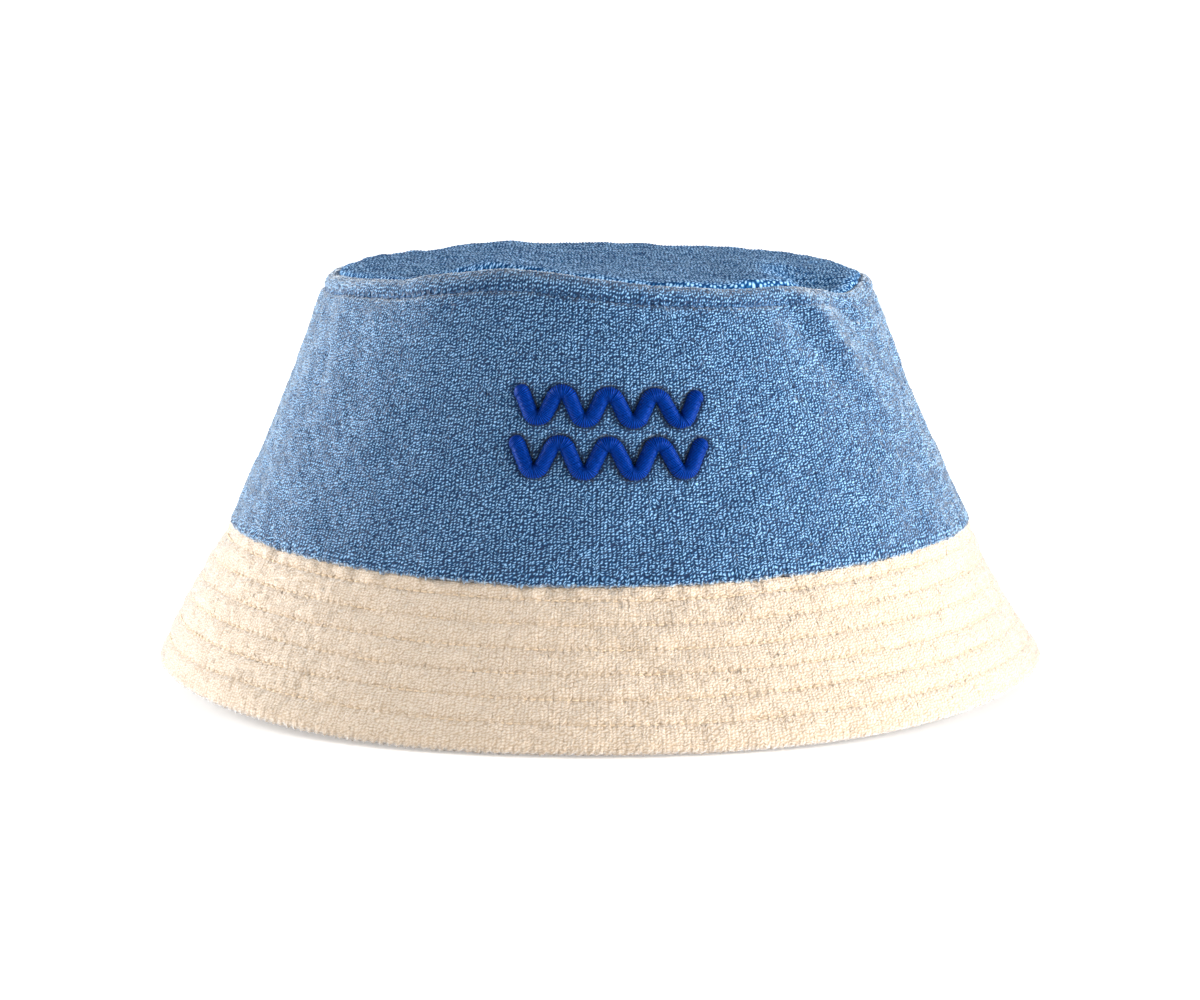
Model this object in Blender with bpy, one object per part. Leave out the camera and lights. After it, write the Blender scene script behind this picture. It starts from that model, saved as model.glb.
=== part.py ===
"""A terry bucket hat: crown, stitched two-layer brim and the trims that hold it together.

Units are metres and +Z is up. The hat stands on its brim, pressed slightly flat from front
to back. X runs side to side, the front faces -Y, and the origin lies on the table, under
the middle of the crown.
"""
import math

import bmesh
import bpy
from mathutils import Vector

# The three sewn outlines, each an ellipse seen from above: the tip seam round the flat top,
# the seam between crown and brim, and the brim's outer edge.
TIP_HALF_WIDTH = 0.0800
TIP_HALF_DEPTH = 0.0755
TIP_HEIGHT = 0.1280
SEAM_HALF_WIDTH = 0.1132
SEAM_HALF_DEPTH = 0.0815
SEAM_SIDE_HEIGHT = 0.0505
SEAM_DIP = 0.0065
EDGE_HALF_WIDTH = 0.1365
EDGE_HALF_DEPTH = 0.1050
EDGE_SIDE_HEIGHT = 0.0065
EDGE_CONTACT_COS2 = 0.06

# How far the crown wall stands out of the straight line between its two seams.
SHOULDER_BULGE = 0.0040
SHOULDER_STATION = 0.10
ROLL_BULGE = 0.0015
TIP_DOME = 0.0015

# Cloth thicknesses, and the clearance between pieces that touch.
GAP = 0.0003
TERRY = 0.0020
BRIM_TERRY = 0.0018
INTERLINING = 0.0005
SWEATBAND = 0.0012
TAPE = 0.0006
BACKING = 0.0004
THREAD_RADIUS = 0.00035

# The brim's stitch rows, measured down the brim as a share of its slope.
STITCH_ROWS = 6
FIRST_ROW = 0.09
ROW_STEP = 0.145

# The crown wall's stations run down from the tip seam (0) to the crown-brim seam (1).
CROWN_STATIONS = (0.0, 0.03, 0.06, 0.10, 0.20, 0.65, 1.0)
TOPSTITCH_STATION = 0.06
TIP_TAPE_STATIONS = (0.06, 0.10, 0.20)
SIDE_TAPE_STATIONS = (0.205, 0.645)
SWEATBAND_STATIONS = (0.65, 1.0)
SWEATBAND_STITCH_STATION = 0.96
BACKING_STATIONS = (0.24, 0.62)
BRIM_STATIONS = (0.0, 0.5, 1.0)
INTERLINING_STATIONS = (0.0, 0.5, 0.93)

# The raised wave motif on the front: two rows of satin stitching over foam.
MOTIF_OFFSET = 0.0025
WAVES_PER_ROW = 4
UPPER_WAVE_LENGTH = 0.0130
LOWER_WAVE_LENGTH = 0.0138
UPPER_ROW_STATION = 0.408
LOWER_ROW_STATION = 0.575
WAVE_BEND_RADIUS = 0.0024
WAVE_LEG_ANGLE = math.radians(64.0)
STROKE_WIDTH = 0.0038
STROKE_HEIGHT = 0.0021
SATIN = 0.0006

# The blank care label that hangs inside, at the middle of the back.
LABEL_WIDTH = 0.0240
LABEL_LENGTH = 0.0260
LABEL_THICKNESS = 0.0006
LABEL_CLEARANCE = 0.0010

AROUND = 64
FRONT = -math.pi / 2
BACK = math.pi / 2
SIDE_TAPE_HALF_ANGLE = math.radians(4.3)
BACKING_HALF_STEPS = 4


def clear_scene():
    """Removes whatever the file holds, so the part is built in an empty scene."""
    for item in list(bpy.data.objects):
        bpy.data.objects.remove(item, do_unlink=True)


def fabric(name, color, roughness):
    """A cloth material with its base colour in linear light."""
    material = bpy.data.materials.new(name)
    material.use_nodes = True
    shader = material.node_tree.nodes["Principled BSDF"]
    shader.inputs["Base Color"].default_value = (*color, 1.0)
    shader.inputs["Roughness"].default_value = roughness
    shader.inputs["Metallic"].default_value = 0.0
    return material


# ---- reference surfaces ----


def outward(angle, half_width, half_depth):
    """The level direction that points straight out of an ellipse at this angle."""
    return Vector((half_depth * math.cos(angle), half_width * math.sin(angle), 0.0)).normalized()


def tip_line(angle):
    """The seam round the flat top."""
    return Vector((TIP_HALF_WIDTH * math.cos(angle), TIP_HALF_DEPTH * math.sin(angle), TIP_HEIGHT))


def seam_line(angle):
    """The crown-brim seam, which lies lower at front and back than at the sides."""
    height = SEAM_SIDE_HEIGHT - SEAM_DIP * math.sin(angle) ** 2
    return Vector((SEAM_HALF_WIDTH * math.cos(angle), SEAM_HALF_DEPTH * math.sin(angle), height))


def edge_line(angle):
    """The brim's outer edge: flat on the table at front and back, lifted at the sides."""
    rise = (math.cos(angle) ** 2 - EDGE_CONTACT_COS2) / (1.0 - EDGE_CONTACT_COS2)
    height = EDGE_SIDE_HEIGHT * max(0.0, rise)
    return Vector((EDGE_HALF_WIDTH * math.cos(angle), EDGE_HALF_DEPTH * math.sin(angle), height))


def crown_bulge(station):
    """Rises round the shoulder just under the tip seam, then fades down the wall."""
    if station < SHOULDER_STATION:
        left = 1.0 - station / SHOULDER_STATION
        return SHOULDER_BULGE * (1.0 - left * left)
    share = (station - SHOULDER_STATION) / (1.0 - SHOULDER_STATION)
    return SHOULDER_BULGE + (ROLL_BULGE - SHOULDER_BULGE) * share


def crown(angle, station):
    """The crown wall's outer face."""
    point = tip_line(angle).lerp(seam_line(angle), station)
    return point + outward(angle, SEAM_HALF_WIDTH, SEAM_HALF_DEPTH) * crown_bulge(station)


def brim(angle, station):
    """The brim's upper face."""
    top = seam_line(angle) - Vector((0.0, 0.0, GAP))
    return top.lerp(edge_line(angle), station)


def slopes(surface, angle, station):
    """The outward normal and the downhill direction of a surface at a point."""
    step = 0.01
    down = surface(angle, station + step) - surface(angle, station - step)
    along = surface(angle + step, station) - surface(angle - step, station)
    return down.cross(along).normalized(), down.normalized()


def inside(surface, angle, station, depth, level=None):
    """A point this deep under a surface, slid along its slope to a level if one is given."""
    normal, down = slopes(surface, angle, station)
    point = surface(angle, station) - normal * depth
    if level is None:
        return point
    return point + down * ((level - point.z) / down.z)


# ---- mesh makers ----


def add_object(name, mesh, material, parent=None):
    """Links a mesh as a named, smooth-shaded object."""
    mesh.shade_smooth()
    mesh.set_sharp_from_angle(angle=math.radians(40.0))
    mesh.materials.append(material)
    item = bpy.data.objects.new(name, mesh)
    bpy.context.collection.objects.link(item)
    item.parent = parent
    return item


def mesh_from_faces(name, points, faces):
    """Makes a closed mesh from corner points and faces, with its normals facing out."""
    mesh = bpy.data.meshes.new(name)
    grid = bmesh.new()
    corners = [grid.verts.new(point) for point in points]
    for face in faces:
        grid.faces.new([corners[index] for index in face])
    bmesh.ops.recalc_face_normals(grid, faces=grid.faces)
    grid.to_mesh(mesh)
    grid.free()
    return mesh


def layer(name, outer, inner, closed, material):
    """A sheet of cloth between two grids of points, as one closed solid.

    Each grid is a list of rows that run round the hat. A closed layer joins its last
    column to its first, and an open one is capped at both ends.
    """
    rows, columns = len(outer), len(outer[0])
    points = [point for row in outer for point in row] + [point for row in inner for point in row]
    depth = rows * columns
    spans = columns if closed else columns - 1
    faces = []
    for i in range(rows - 1):
        for j in range(spans):
            k = (j + 1) % columns
            quad = (i * columns + j, i * columns + k, (i + 1) * columns + k, (i + 1) * columns + j)
            faces.append(quad)
            faces.append(tuple(depth + index for index in reversed(quad)))
    last = (rows - 1) * columns
    for j in range(spans):
        k = (j + 1) % columns
        faces.append((k, j, depth + j, depth + k))
        faces.append((last + j, last + k, depth + last + k, depth + last + j))
    if not closed:
        for i in range(rows - 1):
            for j in (0, columns - 1):
                upper, lower = i * columns + j, (i + 1) * columns + j
                faces.append((upper, lower, depth + lower, depth + upper))
    return add_object(name, mesh_from_faces(name, points, faces), material)


def tube(name, sections, closed, material):
    """Sweeps a closed outline through a list of sections, capped where it isn't a loop."""
    count, size = len(sections), len(sections[0])
    points = [point for section in sections for point in section]
    faces = []
    for i in range(count if closed else count - 1):
        following = (i + 1) % count
        for j in range(size):
            k = (j + 1) % size
            faces.append((i * size + j, i * size + k, following * size + k, following * size + j))
    if not closed:
        faces.append(tuple(range(size)))
        faces.append(tuple((count - 1) * size + j for j in range(size)))
    return add_object(name, mesh_from_faces(name, points, faces), material)


# ---- angles round the hat ----


def all_round():
    """Every column of a piece that goes right round."""
    return [2.0 * math.pi * i / AROUND for i in range(AROUND)]


def half_round(middle):
    """The columns of a front or back half, stopping short of both side seams."""
    clear = GAP / 2.0 / SEAM_HALF_DEPTH
    steps = AROUND // 2
    angles = [middle - math.pi / 2 + math.pi * i / steps for i in range(steps + 1)]
    angles[0] += clear
    angles[-1] -= clear
    return angles


HALVES = (("front", half_round(FRONT)), ("back", half_round(BACK)))


# ---- the pieces ----


def make_top_panel(material):
    """The oval top: slightly domed outside, with a flat underside inside a thinner rim."""
    rim = 1.0 - (GAP / 2.0) / TIP_HALF_DEPTH
    shares = (rim, 0.90, 0.50)
    under = TIP_HEIGHT - TERRY + 0.0002
    rim_lift = 0.0004

    def oval(share, height):
        return [
            Vector((TIP_HALF_WIDTH * share * math.cos(a), TIP_HALF_DEPTH * share * math.sin(a), height))
            for a in all_round()
        ]

    top_rows = [oval(share, TIP_HEIGHT + TIP_DOME * (1.0 - share * share)) for share in shares]
    rows = [oval(shares[1], under), oval(rim, under + rim_lift)] + top_rows
    points = [point for row in rows for point in row] + [Vector((0.0, 0.0, TIP_HEIGHT + TIP_DOME))]
    faces = [tuple(range(AROUND))]
    for i in range(len(rows) - 1):
        for j in range(AROUND):
            k = (j + 1) % AROUND
            faces.append((i * AROUND + j, i * AROUND + k, (i + 1) * AROUND + k, (i + 1) * AROUND + j))
    last, centre = (len(rows) - 1) * AROUND, len(points) - 1
    for j in range(AROUND):
        faces.append((last + j, last + (j + 1) % AROUND, centre))
    mesh = mesh_from_faces("crown_top_panel", points, faces)
    return add_object("crown_top_panel", mesh, material)


def make_crown_walls(material):
    """The front and back halves of the crown wall, which meet at the side seams."""
    for side, angles in HALVES:
        outer = []
        inner = []
        for station in CROWN_STATIONS:
            outer.append([inside(crown, a, station, 0.0) for a in angles])
            inner.append([inside(crown, a, station, TERRY) for a in angles])
        shift = GAP / 2.0
        outer[0] = [
            crown(a, 0.0) + outward(a, TIP_HALF_WIDTH, TIP_HALF_DEPTH) * shift for a in angles
        ]
        inner[0] = [point - Vector((0.0, 0.0, TERRY)) for point in outer[0]]
        inner[-1] = [inside(crown, a, 1.0, TERRY, seam_line(a).z) for a in angles]
        layer(f"crown_{side}_panel", outer, inner, False, material)


def wall_lining(name, angles, stations, depth, thickness, closed, material):
    """A strip that lies against the inside of the crown wall."""
    outer = [[inside(crown, a, t, depth) for a in angles] for t in stations]
    inner = [[inside(crown, a, t, depth + thickness) for a in angles] for t in stations]
    if stations[-1] == 1.0:
        outer[-1] = [inside(crown, a, 1.0, depth, seam_line(a).z) for a in angles]
        inner[-1] = [inside(crown, a, 1.0, depth + thickness, seam_line(a).z) for a in angles]
    return layer(name, outer, inner, closed, material)


def make_linings(tape, band, backing):
    """The tapes over the seams, the sweatband, and the stabiliser behind the motif."""
    depth = TERRY + GAP
    wall_lining("tip_seam_tape", all_round(), TIP_TAPE_STATIONS, depth, TAPE, True, tape)
    for side, middle in (("right", 0.0), ("left", math.pi)):
        angles = [middle - SIDE_TAPE_HALF_ANGLE, middle, middle + SIDE_TAPE_HALF_ANGLE]
        name = f"side_seam_tape_{side}"
        wall_lining(name, angles, SIDE_TAPE_STATIONS, depth, TAPE, False, tape)
    wall_lining("sweatband", all_round(), SWEATBAND_STATIONS, depth, SWEATBAND, True, band)
    step = 2.0 * math.pi / AROUND
    span = range(-BACKING_HALF_STEPS, BACKING_HALF_STEPS + 1)
    angles = [FRONT + i * step for i in span]
    name = "embroidery_backing"
    wall_lining(name, angles, BACKING_STATIONS, depth, BACKING, False, backing)


def brim_layer(name, angles, stations, depth, thickness, material):
    """One layer of the brim, cut level at the crown seam and at the outer edge."""
    outer = []
    inner = []
    for station in stations:
        for rows, deep in ((outer, depth), (inner, depth + thickness)):
            row = []
            for a in angles:
                level = None
                if station == 0.0:
                    level = brim(a, 0.0).z
                if station == 1.0:
                    level = edge_line(a).z
                row.append(inside(brim, a, station, deep, level))
            rows.append(row)
    layer(name, outer, inner, False, material)


def make_brim(terry, interlining):
    """Upper terry, stiff interlining and lower terry, each in a front and a back half."""
    stiff_depth = BRIM_TERRY + GAP
    lower_depth = stiff_depth + INTERLINING + GAP
    for side, angles in HALVES:
        brim_layer(f"brim_upper_{side}", angles, BRIM_STATIONS, 0.0, BRIM_TERRY, terry)
        name = f"brim_interlining_{side}"
        brim_layer(name, angles, INTERLINING_STATIONS, stiff_depth, INTERLINING, interlining)
        brim_layer(f"brim_lower_{side}", angles, BRIM_STATIONS, lower_depth, BRIM_TERRY, terry)


def thread_ring(name, surface, station, depth, material):
    """A row of stitching as one thread laid round the hat, three-sided, clear of the cloth."""
    sections = []
    for angle in all_round():
        normal, down = slopes(surface, angle, station)
        centre = surface(angle, station) - normal * depth
        half = down * (THREAD_RADIUS * math.sqrt(0.75))
        near = normal * (THREAD_RADIUS / 2.0)
        sections.append([centre - near - half, centre - near + half, centre + near * 2.0])
    tube(name, sections, True, material)


def make_stitching(crown_thread, brim_thread):
    """The brim's rows of quilting, the topstitching under the tip and the sweatband's row."""
    proud = -(GAP + THREAD_RADIUS)
    for row in range(STITCH_ROWS):
        station = FIRST_ROW + ROW_STEP * row
        thread_ring(f"brim_stitch_row_{row + 1}", brim, station, proud, brim_thread)
    thread_ring("tip_topstitching", crown, TOPSTITCH_STATION, proud, crown_thread)
    depth = TERRY + GAP + SWEATBAND + GAP + THREAD_RADIUS
    thread_ring("sweatband_stitching", crown, SWEATBAND_STITCH_STATION, depth, brim_thread)


def wave_path(wave_length):
    """One row of waves as points and directions: round bends joined by straight legs.

    The row starts and ends on a crest, so it is the same from both ends.
    """
    bend_steps = 2
    reach = WAVE_BEND_RADIUS * math.sin(WAVE_LEG_ANGLE)
    drop = WAVE_BEND_RADIUS * (1.0 - math.cos(WAVE_LEG_ANGLE))
    leg_run = wave_length / 2.0 - 2.0 * reach
    half_height = drop + leg_run * math.tan(WAVE_LEG_ANGLE) / 2.0
    path = []
    for bend in range(2 * WAVES_PER_ROW + 1):
        sign = 1.0 if bend % 2 == 0 else -1.0
        middle = (bend - WAVES_PER_ROW) * wave_length / 2.0
        first = 0 if bend == 0 else -bend_steps
        final = 0 if bend == 2 * WAVES_PER_ROW else bend_steps
        for i in range(first, final + 1):
            turn = WAVE_LEG_ANGLE * i / bend_steps
            across = middle + WAVE_BEND_RADIUS * math.sin(turn)
            up = sign * (half_height - WAVE_BEND_RADIUS * (1.0 - math.cos(turn)))
            path.append((across, up, math.cos(turn), -sign * math.sin(turn)))
    return path


def on_front(across, up, proud, row_station):
    """A point of the motif's plane wrapped onto the front of the crown wall."""
    slope_length = (crown(FRONT, 1.0) - crown(FRONT, 0.0)).length
    station = row_station - up / slope_length
    half_width = TIP_HALF_WIDTH + (SEAM_HALF_WIDTH - TIP_HALF_WIDTH) * row_station
    angle = FRONT + (MOTIF_OFFSET + across) / half_width
    return inside(crown, angle, station, -proud)


def arch(width, height, lift, steps):
    """A half-oval outline, from one foot to the other, as (sideways, outward) pairs."""
    outline = []
    for i in range(steps + 1):
        turn = math.pi * i / steps
        outline.append((-width / 2.0 * math.cos(turn), lift + height * math.sin(turn)))
    return outline


def make_motif(satin, foam):
    """Two rows of waves in satin stitching, each an arched skin over its foam core."""
    skin_outer = arch(STROKE_WIDTH, STROKE_HEIGHT, GAP, 4)
    skin_inner = arch(STROKE_WIDTH - 2.0 * SATIN, STROKE_HEIGHT - SATIN, GAP, 3)
    slack = 2.0 * (SATIN + GAP)
    core = arch(STROKE_WIDTH - slack, STROKE_HEIGHT - SATIN - 2.0 * GAP, GAP, 3)
    rows = (
        ("upper", UPPER_WAVE_LENGTH, UPPER_ROW_STATION),
        ("lower", LOWER_WAVE_LENGTH, LOWER_ROW_STATION),
    )
    for row, wave_length, row_station in rows:
        outlines = (
            (f"motif_wave_{row}", skin_outer + skin_inner[::-1], satin),
            (f"motif_foam_{row}", core, foam),
        )
        for name, outline, material in outlines:
            sections = []
            for across, up, run, rise in wave_path(wave_length):
                sections.append([
                    on_front(across - rise * side, up + run * side, proud, row_station)
                    for side, proud in outline
                ])
            tube(name, sections, False, material)


def make_care_label(material):
    """A blank folded label that hangs from the top of the sweatband, inside the back."""
    band_depth = TERRY + GAP + SWEATBAND
    corner_angle = BACK - LABEL_WIDTH / 2.0 / SEAM_HALF_WIDTH
    top = inside(crown, corner_angle, SWEATBAND_STATIONS[0], band_depth)
    hinge = bpy.data.objects.new("care_label_axis", None)
    hinge.location = (0.0, top.y - LABEL_CLEARANCE - LABEL_THICKNESS / 2.0, top.z)
    bpy.context.collection.objects.link(hinge)
    grid = bmesh.new()
    bmesh.ops.create_cube(grid, size=1.0)
    bmesh.ops.scale(grid, vec=(LABEL_WIDTH, LABEL_THICKNESS, LABEL_LENGTH), verts=grid.verts)
    bmesh.ops.translate(grid, vec=(0.0, 0.0, -LABEL_LENGTH / 2.0), verts=grid.verts)
    upright = [edge for edge in grid.edges if abs(edge.verts[0].co.y - edge.verts[1].co.y) > 0.0001]
    bmesh.ops.bevel(grid, geom=upright, offset=0.0012, segments=2, affect="EDGES")
    mesh = bpy.data.meshes.new("care_label")
    grid.to_mesh(mesh)
    grid.free()
    add_object("care_label", mesh, material, hinge)


def main():
    clear_scene()
    crown_terry = fabric("crown_terry", (0.085, 0.205, 0.375), 0.95)
    brim_terry = fabric("brim_terry", (0.83, 0.73, 0.60), 0.95)
    interlining = fabric("interlining", (0.86, 0.85, 0.82), 0.80)
    cotton_tape = fabric("cotton_tape", (0.82, 0.76, 0.66), 0.85)
    sweatband = fabric("sweatband_cotton", (0.84, 0.77, 0.66), 0.80)
    crown_thread = fabric("crown_thread", (0.060, 0.160, 0.320), 0.55)
    brim_thread = fabric("brim_thread", (0.80, 0.66, 0.49), 0.55)
    satin_thread = fabric("satin_thread", (0.010, 0.040, 0.260), 0.35)
    foam = fabric("puff_foam", (0.020, 0.050, 0.250), 0.90)
    stabiliser = fabric("stabiliser", (0.88, 0.88, 0.87), 0.90)
    label = fabric("label_satin", (0.90, 0.89, 0.87), 0.45)
    make_top_panel(crown_terry)
    make_crown_walls(crown_terry)
    make_linings(cotton_tape, sweatband, stabiliser)
    make_brim(brim_terry, interlining)
    make_stitching(crown_thread, brim_thread)
    make_motif(satin_thread, foam)
    make_care_label(label)


main()
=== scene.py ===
"""The looks of a terry bucket hat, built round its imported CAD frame.

Every cloth piece is a closed mesh with its terry loops, quilting and seams in the geometry.
Units are metres, +Z is up and the front of the hat faces -Y.
"""

import math

import bpy
import numpy as np
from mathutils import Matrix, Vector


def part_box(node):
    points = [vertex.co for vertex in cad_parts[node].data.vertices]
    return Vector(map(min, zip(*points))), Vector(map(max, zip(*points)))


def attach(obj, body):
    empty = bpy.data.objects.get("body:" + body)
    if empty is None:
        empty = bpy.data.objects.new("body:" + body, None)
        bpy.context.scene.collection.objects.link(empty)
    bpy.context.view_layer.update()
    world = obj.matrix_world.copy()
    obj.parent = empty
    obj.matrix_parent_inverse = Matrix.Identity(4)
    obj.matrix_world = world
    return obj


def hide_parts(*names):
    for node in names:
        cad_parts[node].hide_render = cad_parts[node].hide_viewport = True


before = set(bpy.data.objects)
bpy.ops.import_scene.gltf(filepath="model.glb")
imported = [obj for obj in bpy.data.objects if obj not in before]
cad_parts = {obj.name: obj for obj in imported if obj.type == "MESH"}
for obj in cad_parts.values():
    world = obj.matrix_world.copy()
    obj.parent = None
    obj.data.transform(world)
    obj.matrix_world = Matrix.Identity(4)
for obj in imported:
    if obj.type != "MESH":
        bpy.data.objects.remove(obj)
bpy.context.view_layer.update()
TURN = 2.0 * math.pi
MM = 0.001

# ---- sizes, read from the frame where it holds them ----
GAP = 0.3 * MM
TERRY = 2.0 * MM
BRIM_TERRY = 1.8 * MM
INTERLINING = 0.5 * MM
SWEATBAND = 1.2 * MM
TAPE = 0.6 * MM
BACKING = 0.4 * MM
BRIM_THICKNESS = 2.0 * BRIM_TERRY + INTERLINING + 2.0 * GAP
SHOULDER_BULGE = 4.0 * MM
SHOULDER_STATION = 0.10
ROLL_BULGE = 1.5 * MM
TIP_DOME = 1.5 * MM
TIP_ROLL = 1.0 * MM
SEAM_DIP = 6.5 * MM
EDGE_CONTACT_COS2 = 0.06
EDGE_LIFT_POWER = 1.5
TIP_LIFT_POWER = 2.2
# The seam's allowance holds the wall free of dents down to about this station.
HELD_STATION = 0.045
# A small step in angle or station, to take slopes over.
STEP = 0.004
HALVES = (("front", -math.pi), ("back", 0.0))

TIP_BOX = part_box("crown_top_panel")
WALL_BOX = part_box("crown_front_panel")
BRIM_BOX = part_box("brim_upper_front")
LABEL_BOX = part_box("care_label")
TIP_HALF_WIDTH = TIP_BOX[1][0] + GAP / 2.0
TIP_HALF_DEPTH = TIP_BOX[1][1] + GAP / 2.0
TIP_HEIGHT = TIP_BOX[1][2] - TIP_DOME
SEAM_HALF_WIDTH = WALL_BOX[1][0] - ROLL_BULGE
SEAM_HALF_DEPTH = -WALL_BOX[0][1] - ROLL_BULGE
SEAM_SIDE_HEIGHT = WALL_BOX[0][2] + SEAM_DIP
EDGE_HALF_WIDTH = BRIM_BOX[1][0]
EDGE_HALF_DEPTH = -BRIM_BOX[0][1]
EDGE_SIDE_HEIGHT = 6.5 * MM
LINING_DEPTH = TERRY + GAP

# The wall's height along its slope, and the brim's.
WALL_SLOPE = 84.5 * MM
BRIM_SLOPE = 50.3 * MM

# Terry loops, and how much they are stretched, shaken and raised.
LOOP_PITCH = 1.04 * MM
LOOP_DISORDER = 0.40
LOOP_LEAN = math.radians(38.0)
LOOP_RELIEF = 0.21 * MM
TOP_RELIEF = 0.27 * MM
TOP_STRETCH = 0.62
BRIM_PITCH = 1.06 * MM
UNDER_PITCH = 1.7 * MM
LOOP_SHAKE = 0.12 * MM
INNER_ROWS = 9
TUFT_ROWS = 5
PLAIN_PILE = 0.55
# Lumps of the cloth, each as (rise, size, seed).
WALL_LUMPS = ((0.30 * MM, 16.0 * MM, 3), (0.12 * MM, 5.0 * MM, 4))
TOP_LUMPS = ((0.30 * MM, 14.0 * MM, 5), (0.12 * MM, 5.0 * MM, 6))
BRIM_LUMPS = ((0.22 * MM, 11.0 * MM, 12), (0.10 * MM, 4.0 * MM, 13))

# Quilting rows down the brim, as shares of its slope.
ROWS = [0.09 + 0.145 * row for row in range(6)]
BRIM_STITCH = 2.4 * MM
BRIM_PUFF = 0.48 * MM
BRIM_PULL = 0.36 * MM
TOPSTITCH_DEPTH = 5.3 * MM
TOPSTITCH_LENGTH = 2.6 * MM
TOPSTITCH_PUFF = 0.75 * MM
TOPSTITCH_PULL = 1.0 * MM
BAND_STITCH = 3.0 * MM
BAND_STITCH_STATION = 0.955
STIFFENER_SHARE = 0.93

# The motif: two rows of waves in satin over foam, each row as (name, wave length, station).
MOTIF_ROWS = (("upper", 13.0 * MM, 0.408), ("lower", 13.8 * MM, 0.575))
MOTIF_OFFSET = 2.5 * MM
MOTIF_REACH = 45.0 * MM
MOTIF_PRESS = 0.55 * MM
WAVES_PER_ROW = 4
WAVE_BEND_RADIUS = 2.4 * MM
WAVE_LEG_ANGLE = math.radians(64.0)
WAVE_END_ANGLE = math.radians(40.0)
STROKE = 4.3 * MM
STROKE_HEIGHT = 2.4 * MM
SATIN_PITCH = 0.40 * MM
CORE_SHARE = 0.70

# Soft hills and hollows, each as (angle in degrees, spread in degrees, rise in mm).
TIP_LIFTS = (
    (-172.0, 24.0, -1.3),
    (-108.0, 20.0, 5.0),
    (-58.0, 16.0, -1.0),
    (-27.0, 14.0, -5.0),
    (6.0, 18.0, -2.4),
    (90.0, 15.0, 0.9),
    (118.0, 14.0, 1.9),
    (52.0, 12.0, 1.2),
)
# The wall's: (angle, spread, station, spread of stations, rise in mm, slant in degrees).
WALL_HILLS = (
    (2.0, 32.0, 0.42, 0.50, -3.5, 0.0),
    (180.0, 32.0, 0.42, 0.50, -2.3, 0.0),
    (-32.0, 6.0, 0.06, 0.06, -2.4, 0.0),
    (-46.5, 4.0, 0.17, 0.27, 2.2, 33.0),
    (-53.5, 4.0, 0.18, 0.22, -1.6, 30.0),
    (-34.0, 4.5, 0.12, 0.16, -1.2, 26.0),
    (-14.0, 4.0, 0.40, 0.26, -1.0, 8.0),
    (-7.0, 4.0, 0.62, 0.25, 0.9, 0.0),
    (-20.0, 5.0, 0.66, 0.20, 0.7, 6.0),
    (-138.0, 9.0, 0.05, 0.05, -1.3, 0.0),
    (-124.0, 7.0, 0.10, 0.08, 0.7, 0.0),
    (-158.0, 9.0, 0.45, 0.22, 0.9, -10.0),
    (-170.0, 5.0, 0.60, 0.25, -0.8, 0.0),
    (-95.0, 20.0, 0.85, 0.12, 0.6, 0.0),
    (50.0, 9.0, 0.12, 0.10, -1.2, 20.0),
    (75.0, 10.0, 0.45, 0.20, 0.8, -12.0),
    (112.0, 8.0, 0.25, 0.16, -1.1, -20.0),
    (150.0, 8.0, 0.50, 0.22, -0.9, 14.0),
    (20.0, 6.0, 0.55, 0.25, -0.8, 0.0),
)
# The top's: (x, y, spread along x, spread along y, rise in mm).
TOP_HILLS = (
    (0.061, -0.034, 0.009, 0.014, -3.6),
    (0.047, -0.024, 0.007, 0.040, 1.9),
    (-0.050, -0.040, 0.010, 0.016, -1.8),
    (-0.030, -0.028, 0.008, 0.036, 2.9),
    (-0.020, 0.050, 0.018, 0.020, 0.9),
    (0.010, 0.052, 0.016, 0.018, 1.1),
    (-0.012, 0.000, 0.030, 0.016, -1.1),
    (0.045, 0.046, 0.016, 0.016, -1.0),
    (0.028, 0.010, 0.010, 0.026, -0.7),
)
# The brim's: (angle, spread, rise at half slope in mm).
BRIM_HILLS = (
    (180.0, 34.0, 0.9),
    (0.0, 30.0, -1.2),
    (-60.0, 15.0, 0.5),
    (-118.0, 16.0, -0.5),
    (70.0, 20.0, 0.6),
    (125.0, 18.0, -0.6),
)

# Terry colours from the gaps between loops, darkened there as painted shade, to their tips, and the
# cloth's large paler patches.
WHITE = (1.0, 1.0, 1.0)
BLUE_STOPS = (
    (0.16, (0.001, 0.022, 0.078)),
    (0.47, (0.008, 0.085, 0.215)),
    (0.80, (0.300, 0.540, 0.820)),
)
# The top's own copy of these colours, paler: painted light for the top, which is given less sheen.
TOP_STOPS = (
    (0.07, (0.001, 0.034, 0.125)),
    (0.38, (0.015, 0.125, 0.310)),
    (0.74, (0.400, 0.660, 0.970)),
)
CREAM_STOPS = (
    (0.0, (0.55, 0.41, 0.28)),
    (0.40, (0.67, 0.53, 0.40)),
    (0.9, (0.77, 0.67, 0.56)),
)
# Satin colours from painted shade between strands to a painted highlight on their ridges.
SATIN_STOPS = (
    (0.20, (0.0002, 0.003, 0.035)),
    (0.55, (0.0004, 0.016, 0.16)),
    (0.95, (0.001, 0.060, 0.42)),
)
SATIN_GLOSS = (0.04, 0.22, 1.0, 1.0)
BLUE_BLOOM = (0.86, 0.93, 1.0)
CREAM_BLOOM = (0.89, 0.95, 1.0)
BLUE_PATCHES = ((0.32, (0.84, 0.88, 0.91)), (0.68, WHITE))
CREAM_PATCHES = ((0.3, (0.96, 0.96, 0.95)), (0.7, WHITE))
# How far the loops drift from their rows: (scale of the drift, reach in loops).
LOOP_DRIFTS = ((190.0, 1.3), (900.0, 0.34))

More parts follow.
